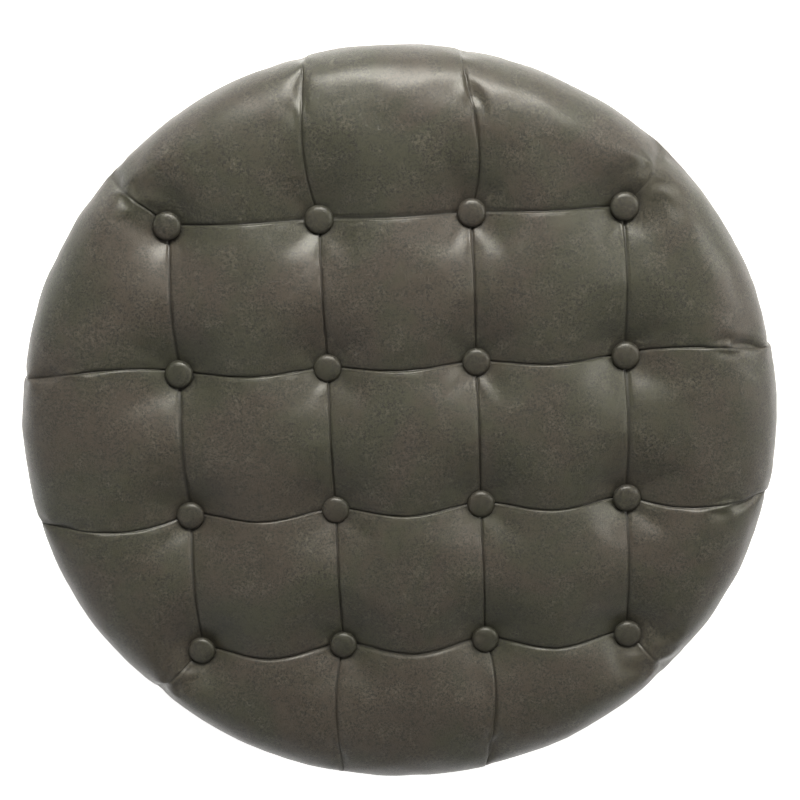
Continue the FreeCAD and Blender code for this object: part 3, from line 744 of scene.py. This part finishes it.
side, rim, foot = sleeve_high.x, sleeve_high.z, sleeve_low.z
rim_inside, wall_outside, hem_inside = lining_high.x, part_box("outer_wall")[1].x, side - HEM
sleeve_outline = [
    (rim_inside, ring_top),
    (rim_inside, rim),
    *straight((rim_inside, rim), (side - EDGE, rim), 9),
    *arc((side - EDGE, rim - EDGE), EDGE, 90, 0),
    *straight((side, rim - EDGE), (side, foot + EDGE), 44),
    *arc((side - EDGE, foot + EDGE), EDGE, 0, -90),
    (hem_inside, foot),
    (hem_inside, foot + LEATHER),
    (wall_outside, foot + LEATHER),
    (wall_outside, ring_top),
]
bm = ring_from(sleeve_outline, SLEEVE_STEPS)
for v in bm.verts:
    off = from_seam(v)
    turn_by = -SEAM_GATHER * PANEL * math.sin(2 * math.pi * off / PANEL) / (2 * math.pi)
    v.co.rotate(Matrix.Rotation(turn_by, 3, "Z"))
print(len(bm.faces), "faces in the sleeve")

# %% [markdown]
# The padding makes the panels swell a little between the seams, and the leather has slack in it:
# long soft waves, and short puckers where each seam draws it in. The rim stays flat under the
# hinges and the lid's rubber stops.

# %% Let the leather swell and pucker
SEAM_DIP = 2.2 * MM
SEAM_WIDTH = 1.5 * MM
PUCKER = 0.35 * MM
PUCKER_REACH = 22 * MM
SWELL_OUT = 0.9 * MM
fold = bm.verts.layers.float.new("fold")
bm.normal_update()
moves = []
for v in bm.verts:
    on_side = max(0.0, min(1.0, (v.co.xy.length - side + EDGE) / EDGE))
    off = from_seam(v) * side
    near = math.exp(-((off / SEAM_WIDTH) ** 2))
    up = (v.co.z - foot) / (rim - foot)
    swell = SWELL_OUT * math.sin(math.pi * max(0.0, min(1.0, up))) * math.cos(from_seam(v) * 2) ** 2
    pucker = math.sin(v.co.z * 420 + 3 * noise.noise(v.co * 9)) * PUCKER
    pucker *= math.exp(-abs(off) / PUCKER_REACH)
    waves = noise.noise(Vector((v.co.x * 5, v.co.y * 5, v.co.z * 14))) * 0.9
    waves = (waves + noise.noise(v.co * 40) * 0.3) * MM
    moves.append((v, v.normal * on_side * (swell + waves + pucker * (1 - near) - SEAM_DIP * near)))
    # Painted shade: the seam grooves get the `fold` number, which darkens the leather there.
    v[fold] = near * on_side
for v, move in moves:
    v.co += move
sleeve = piece_from(bm, "drum_sleeve")
smooth = sleeve.modifiers.new("smooth", "SUBSURF")
smooth.levels = smooth.render_levels = 1
sleeve.data.materials.append(hide)
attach(sleeve, "base")
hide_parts("side_cover", "side_padding")
print("sleeve box", [round(c, 4) for c in sleeve.dimensions])

# %% [markdown]
# ## Topstitching
# Each seam is pressed flat and sewn down on both sides with heavy thread. A stitch is a tiny
# rounded bead of twenty faces, because there are hundreds of them. The same helper sews the
# cloth pieces later.

# %% Sew the sleeve's seams
THREAD = 0.9 * MM
STITCH = 4.2 * MM
STITCH_GAP = 1.3 * MM
ROW_OFF = 4 * MM


def sew(name, places, finish, body):
    """One piece of many stitches. A place is (middle, direction of the thread)."""
    bead = bmesh.new()
    shape = Matrix.Diagonal((STITCH, THREAD, THREAD, 1))
    bmesh.ops.create_icosphere(bead, subdivisions=1, radius=0.5, matrix=shape)
    pattern = bpy.data.meshes.new("bead")
    bead.to_mesh(pattern)
    bead.free()
    bm = bmesh.new()
    count = 0
    for middle, along in places:
        put = Matrix.Translation(middle) @ along.to_track_quat("X", "Z").to_matrix().to_4x4()
        pattern.transform(put)
        bm.from_mesh(pattern)
        pattern.transform(put.inverted())
        count += 1
    thread = piece_from(bm, name)
    thread.data.materials.append(finish)
    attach(thread, body)
    print(count, "stitches in", name)


def seam_stitches():
    """Two upright rows of stitches beside each seam of the sleeve."""
    for panel in range(PANELS):
        seam = SEAM_TURN + panel * PANEL
        for beside in (-ROW_OFF, ROW_OFF):
            angle = seam + beside / side
            height = foot + 2 * EDGE
            while height < rim - 1.5 * EDGE:
                probe = Vector((side * math.cos(angle), side * math.sin(angle), height))
                hit = surface.find_nearest(probe)[0]
                yield hit, Vector((0, 0, 1))
                height += STITCH + STITCH_GAP


surface = BVHTree.FromObject(sleeve, bpy.context.evaluated_depsgraph_get())
thread = Finish("heavy_thread", base_color=(0.05, 0.045, 0.035), roughness=0.6)
twist = (thread.axis("Z") * 5200 + thread.axis("X") * 2600 + thread.axis("Y") * 2600).sine()
thread.set(normal=thread.bump(twist, 0.0001))
sew("sleeve_stitching", seam_stitches(), thread.material, "base")

# %% [markdown]
# ## Cloth
# The drum is lined with a plain black weave. Two sines across each other, one along the warp
# and one along the weft, are enough for the threads, and soft noise adds lint and wear. On the
# round wall the weft runs along the arc, so its place is the angle times the radius. The colour
# is lighter on the crests of the weave and darker in its gaps: painted shade between the threads.

# %% Weave the cloths
THREADS = 2 * math.pi / (1.1 * MM)


def cloth(name, colour, light, round_wall=False, weave=0.00012):
    """A woven black cloth. light is the colour of its worn and dusty threads and of the weave's crests; the
    gaps keep the dark colour as painted shade.
    """
    finish = Finish(name, roughness=0.92, sheen_weight=0.25, sheen_roughness=0.5)
    x, y = finish.axis("X"), finish.axis("Y")
    if round_wall:
        angle = finish.node("Math", {"operation": "ARCTAN2"}, {0: y, 1: x})
        warp, weft = angle * lining_high.x, finish.axis("Z")
    else:
        warp, weft = x, y
    over = (warp * THREADS).sine() * (weft * THREADS).sine()
    lint = finish.cloud(60, detail=5, rough=0.7)
    tone = finish.cloud(6, detail=2)
    # Painted shade: the weave's gaps stay darker and its crests lighter; the lint and the tone are the
    # cloth's own wear and dust.
    worn = (over * 0.5 + 0.5) * 0.35 + lint.between(0.5, 0.8) * 0.4 + tone * 0.2
    shade = finish.blend(worn, colour, light)
    finish.set(base_color=shade, normal=finish.bump(over + lint * 0.8, weave))
    return finish.material


wall_cloth = cloth("wall_cloth", (0.012, 0.012, 0.013), (0.040, 0.040, 0.043), round_wall=True)
flat_cloth = cloth("flat_cloth", (0.012, 0.012, 0.013), (0.040, 0.040, 0.043))
dust_cloth = cloth("felted_cloth", (0.014, 0.014, 0.015), (0.045, 0.045, 0.048), weave=0.00005)
print("cloths ready")

# %% [markdown]
# ## The cloth lining of the drum
# The wall's lining is one strip, glued at the back and folded over at the top. It lies flat, but
# cloth on a curve is never perfectly smooth: it has faint upright ripples. The floor's lining is
# a thin padded disc with a rounded, sewn edge.

# %% Line the wall
wall_inside, wall_back = lining_high.x - 1 * MM, lining_high.x
lining_foot, lining_top = lining_low.z, lining_high.z
lining_outline = [
    (wall_back, lining_foot),
    (wall_back, lining_top),
    (wall_inside, lining_top),
    *straight((wall_inside, lining_top), (wall_inside, lining_foot), 24),
    (wall_inside, lining_foot),
]
LINING_STEPS = 300
TOP_FOLD = 18 * MM
LAP = 0.35 * MM
bm = ring_from(lining_outline, LINING_STEPS)
for v in bm.verts:
    if v.co.xy.length < wall_back - 0.5 * MM:
        angle = math.atan2(v.co.y, v.co.x)
        ripple = noise.noise((math.cos(angle) * 6, math.sin(angle) * 6, v.co.z * 3)) * 0.5 * MM
        lap = LAP if lining_top - v.co.z < TOP_FOLD else 0
        inward = -(abs(ripple) + lap) if v.co.y < 0.2 else -lap
        v.co.xy += v.co.xy.normalized() * inward
wall_lining = piece_from(bm, "wall_lining_cloth")
wall_lining.data.materials.append(wall_cloth)
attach(wall_lining, "base")
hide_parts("wall_lining")
print("wall lining", [round(c, 4) for c in wall_lining.dimensions])

# %% Lay the floor lining
def disc(outline, rounds, shown, depth):
    """A closed disc, from (radius, height) points that run out from the axis and back to it.
    Its face at the height `shown` gets soft ripples that deep, inside the outermost ring."""
    bm = spun(list(outline), rounds)
    widest = max(v.co.xy.length for v in bm.verts)
    for v in bm.verts:
        if abs(v.co.z - shown) < 0.1 * MM and v.co.xy.length < widest - 16 * MM:
            v.co.z += depth * abs(noise.noise((v.co.x * 8, v.co.y * 8, shown * 90)))
    return bm


def spread(radius, height, steps=14):
    """Points from the axis to that radius, at one height."""
    return [(radius * step / steps, height) for step in range(steps + 1)]


def show_cloth(bm, name, finish, node, body):
    """Ends a cloth disc as a piece that stands for a node."""
    piece = piece_from(bm, name)
    piece.data.materials.append(finish)
    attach(piece, body)
    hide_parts(node)
    print(name, [round(c, 4) for c in piece.dimensions])
    return piece


floor_low, floor_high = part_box("floor_lining")
low, high, edge = floor_low.z, floor_high.z, wall_inside - 0.6 * MM
PAD_EDGE, PAD_SEAM = 1.6 * MM, 0.9 * MM
DISC_STEPS = 180
floor_outline = [
    *spread(edge, low),
    *arc((edge - PAD_EDGE, high - PAD_EDGE), PAD_EDGE, 0, 90, 4),
    (edge - 9 * MM, high),
    (edge - 10 * MM, high - PAD_SEAM),
    (edge - 11 * MM, high - PAD_SEAM),
    (edge - 12 * MM, high),
    *reversed(spread(edge - 16 * MM, high)),
]
bm = disc(floor_outline, DISC_STEPS, high, -1.1 * MM)
floor_pad = show_cloth(bm, "floor_lining_pad", flat_cloth, "floor_lining", "base")

# %% [markdown]
# ## The lid's lining and the dust cover
# Under the lid a round of the same black cloth hides the board. Its edge is turned in, laid over
# the leather's hem and sewn. A thinner felted cloth closes the drum from below.

# %% Close the lid and the drum with cloth
lid_low, lid_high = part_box("lid_lining")
WELT = 0.8 * MM
welt_out = HEM_RADIUS + 2 * MM
lid_outline = [
    *spread(HEM_RADIUS, lid_high.z),
    (HEM_RADIUS, lid_low.z),
    (welt_out, lid_low.z),
    (welt_out, lid_low.z - WELT / 2),
    (welt_out - 1 * MM, lid_low.z - WELT),
    (welt_out - 9 * MM, lid_low.z - WELT),
    (welt_out - 10 * MM, lid_low.z),
    *reversed(spread(welt_out - 14 * MM, lid_low.z)),
]
bm = disc(lid_outline, DISC_STEPS, lid_low.z, 0.5 * MM)
lid_cloth = show_cloth(bm, "lid_lining_cloth", flat_cloth, "lid_lining", "lid")

dust_low, dust_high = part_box("dust_cover")
DUST_WELT = 0.3 * MM
edge = dust_high.x
dust_outline = [
    *spread(edge, dust_high.z),
    (edge, dust_low.z - DUST_WELT / 2),
    (edge - 1 * MM, dust_low.z - DUST_WELT),
    (edge - 19 * MM, dust_low.z - DUST_WELT),
    (edge - 20 * MM, dust_low.z),
    *reversed(spread(edge - 24 * MM, dust_low.z)),
]
bm = disc(dust_outline, DISC_STEPS, dust_low.z, 0.4 * MM)
dust_sheet = show_cloth(bm, "dust_cover_cloth", dust_cloth, "dust_cover", "base")


def hem_stitches(radius, height):
    """A round of stitches."""
    count = round(2 * math.pi * radius / (STITCH + STITCH_GAP))
    for number in range(count):
        angle = 2 * math.pi * number / count
        here = Vector((math.cos(angle), math.sin(angle), 0))
        yield here * radius + Vector((0, 0, height)), Vector((-here.y, here.x, 0))


black_thread = Finish("black_thread", base_color=(0.03, 0.03, 0.032), roughness=0.7)
twist = ((black_thread.axis("X") + black_thread.axis("Y")) * 3600).sine()
black_thread.set(normal=black_thread.bump(twist, 0.0001))
sew(
    "lid_lining_stitching",
    hem_stitches(welt_out - 5 * MM, lid_low.z - WELT),
    black_thread.material,
    "lid",
)

# %% [markdown]
# ## Finishes for the pieces of the model
# The boards, posts, feet and metalwork keep their shapes, and get a finish each. Wood is noise
# drawn out along the grain. Powder-coated steel has a faint orange peel, zinc has cloudy spangle,
# and rubber and nylon are matt with a fine texture from the mould.


# %% Wood, board and foam
def wood(name, pale, dark, gloss, stretch, pores=0.00015):
    """Grain along the axis that stretch makes smallest."""
    finish = Finish(name)
    ring = finish.cloud(22, detail=4, rough=0.6, warp=1.2, stretch=stretch)
    streak = finish.cloud(190, detail=4, rough=0.7, stretch=stretch)
    colour = finish.blend(ring.between(0.35, 0.65), pale, dark)
    colour = finish.blend(streak.between(0.5, 0.75) * 0.5, colour, dark)
    rough = gloss + streak * 0.15
    finish.set(base_color=colour, roughness=rough, normal=finish.bump(streak, pores))
    return finish.material


ALONG_X, UPRIGHT = (0.08, 1, 1), (1, 1, 0.08)
foam = Finish("cut_foam", roughness=0.95)
cells = foam.pebbles(420)
# The foam's own yellowed tone, with painted shade darker in the grooves at the edges of its cells.
yellowed_with_groove_shade = foam.blend(cells.between(0, 0.3), (0.55, 0.5, 0.36), (0.78, 0.73, 0.56))
foam.set(base_color=yellowed_with_groove_shade, normal=foam.bump(cells, 0.0005))
finishes = {
    "plywood": wood("birch_plywood", (0.62, 0.46, 0.29), (0.46, 0.31, 0.18), 0.55, ALONG_X),
    "timber": wood("planed_pine", (0.64, 0.47, 0.28), (0.45, 0.29, 0.14), 0.6, UPRIGHT),
    "hardboard": wood("bent_hardboard", (0.30, 0.19, 0.11), (0.20, 0.12, 0.07), 0.7, (1, 1, 1), 0.00025),
    "dark_wood": wood("stained_wood", (0.050, 0.026, 0.015), (0.014, 0.008, 0.005), 0.28, UPRIGHT, 0.0001),
    "foam": foam.material,
    "distressed_leather": hide,
    "button_leather": button_hide,
    "lining_cloth": flat_cloth,
    "dust_cloth": dust_cloth,
}
print("wood and foam ready")


# %% Metal, rubber, nylon and twine
WORN_SHARE = 0.5


def moulded(name, colour, worn, gloss, lumps, depth, metallic=0.0):
    """A coated or moulded surface: even from afar, uneven close to."""
    finish = Finish(name, metallic=metallic)
    peel = finish.cloud(lumps, detail=2)
    dirt = finish.cloud(lumps / 12, detail=5, rough=0.7)
    colour = finish.blend(dirt.between(0.45, 0.75) * WORN_SHARE, colour, worn)
    rough = gloss + dirt * 0.2
    finish.set(base_color=colour, roughness=rough, normal=finish.bump(peel, depth))
    return finish.material


twine = Finish("waxed_thread", roughness=0.5)
strands = (twine.axis("Z") * 2600 + twine.axis("X") * 1800).sine()
# Painted shade: the twine is darker in the grooves of its twist and lighter on its strands.
waxed = twine.blend(strands * 0.5 + 0.5, (0.34, 0.28, 0.18), (0.60, 0.52, 0.37))
twine.set(base_color=waxed, normal=twine.bump(strands, 0.0002))
finishes |= {
    "black_steel": moulded(
        "black_powder_coat", (0.018, 0.018, 0.019), (0.045, 0.044, 0.043), 0.36, 900, 0.00006
    ),
    "bright_steel": moulded(
        "zinc_plate", (0.62, 0.62, 0.61), (0.46, 0.46, 0.47), 0.22, 500, 0.00003, metallic=1.0
    ),
    "bumper_rubber": moulded(
        "soft_rubber", (0.022, 0.022, 0.022), (0.05, 0.05, 0.048), 0.62, 1500, 0.00005
    ),
    "black_plastic": moulded(
        "black_nylon", (0.024, 0.024, 0.025), (0.05, 0.05, 0.05), 0.42, 1100, 0.00004
    ),
    "waxed_twine": twine.material,
}
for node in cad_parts.values():
    for held in node.material_slots:
        held.material = finishes[held.material.name.split(".")[0]]
print("every piece of the model has its finish")

# %% [markdown]
# ## Light and floor
# One large soft lamp stands behind the hinges and above, so each pillow is bright just in front
# of a fold. A faint lamp fills from the front left, and a small one at the right lights the
# sides of the folds that face it. The sky is dark overhead and pale at the horizon, so the
# shadows stay deep on the lid while the background stays white from a low place.

# %% Light the scene
scene = bpy.context.scene
scene.view_settings.view_transform = "Standard"
world = bpy.data.worlds.new("studio")
world.use_nodes = True
world_nodes = world.node_tree.nodes
where, split, sky = (
    world_nodes.new("ShaderNode" + kind) for kind in ("TexCoord", "SeparateXYZ", "ValToRGB")
)
HORIZON = (0.12, (0.80, 0.79, 0.76, 1))
ZENITH = (0.6, (0.10, 0.097, 0.09, 1))
for stop, (height, colour) in zip(sky.color_ramp.elements, (HORIZON, ZENITH)):
    stop.position, stop.color = height, colour
for source, target in (
    (where.outputs["Generated"], split.inputs["Vector"]),
    (split.outputs["Z"], sky.inputs["Fac"]),
    (sky.outputs["Color"], world_nodes["Background"].inputs["Color"]),
):
    world.node_tree.links.new(source, target)
scene.world = world


LAMP_COLOUR = (1.0, 0.97, 0.88)


def lamp(name, stand, aim, width, height, power):
    """A soft lamp of that size, which faces a point."""
    data = bpy.data.lights.new(name, "AREA")
    data.shape, data.energy = "RECTANGLE", power
    data.size, data.size_y = width, height
    data.color = LAMP_COLOUR
    made = bpy.data.objects.new(name, data)
    facing = (Vector(stand) - Vector(aim)).to_track_quat("Z", "Y").to_matrix().to_4x4()
    made.matrix_world = Matrix.Translation(stand) @ facing
    scene.collection.objects.link(made)


LID_MIDDLE = (0, 0, 0.42)
lamp("key", (0.2, 1.8, 1.85), LID_MIDDLE, 1.6, 0.5, 96)
lamp("fill", (-1.5, -1.2, 2.2), LID_MIDDLE, 2.0, 2.0, 4)
lamp("side", (2.1, 0.5, 1.6), LID_MIDDLE, 0.9, 0.9, 20)
print("lamps", sorted(light.name for light in bpy.data.lights))

# %% Lay the floor under it
FLOOR_HALF = 6
bm = bmesh.new()
bmesh.ops.create_grid(bm, x_segments=1, y_segments=1, size=FLOOR_HALF)
floor = piece_from(bm, "floor")
paper = Finish("pale_floor", base_color=(0.9, 0.9, 0.9), roughness=0.8)
paper.set(emission_color=(1, 1, 1), emission_strength=0.85)
floor.data.materials.append(paper.material)
print("floor", 2 * FLOOR_HALF, "m wide")

# %% [markdown]
# ## Sizes, and the end
# The new pieces swell past the solids by a few millimetres and no more.

# %% End
print("the end")
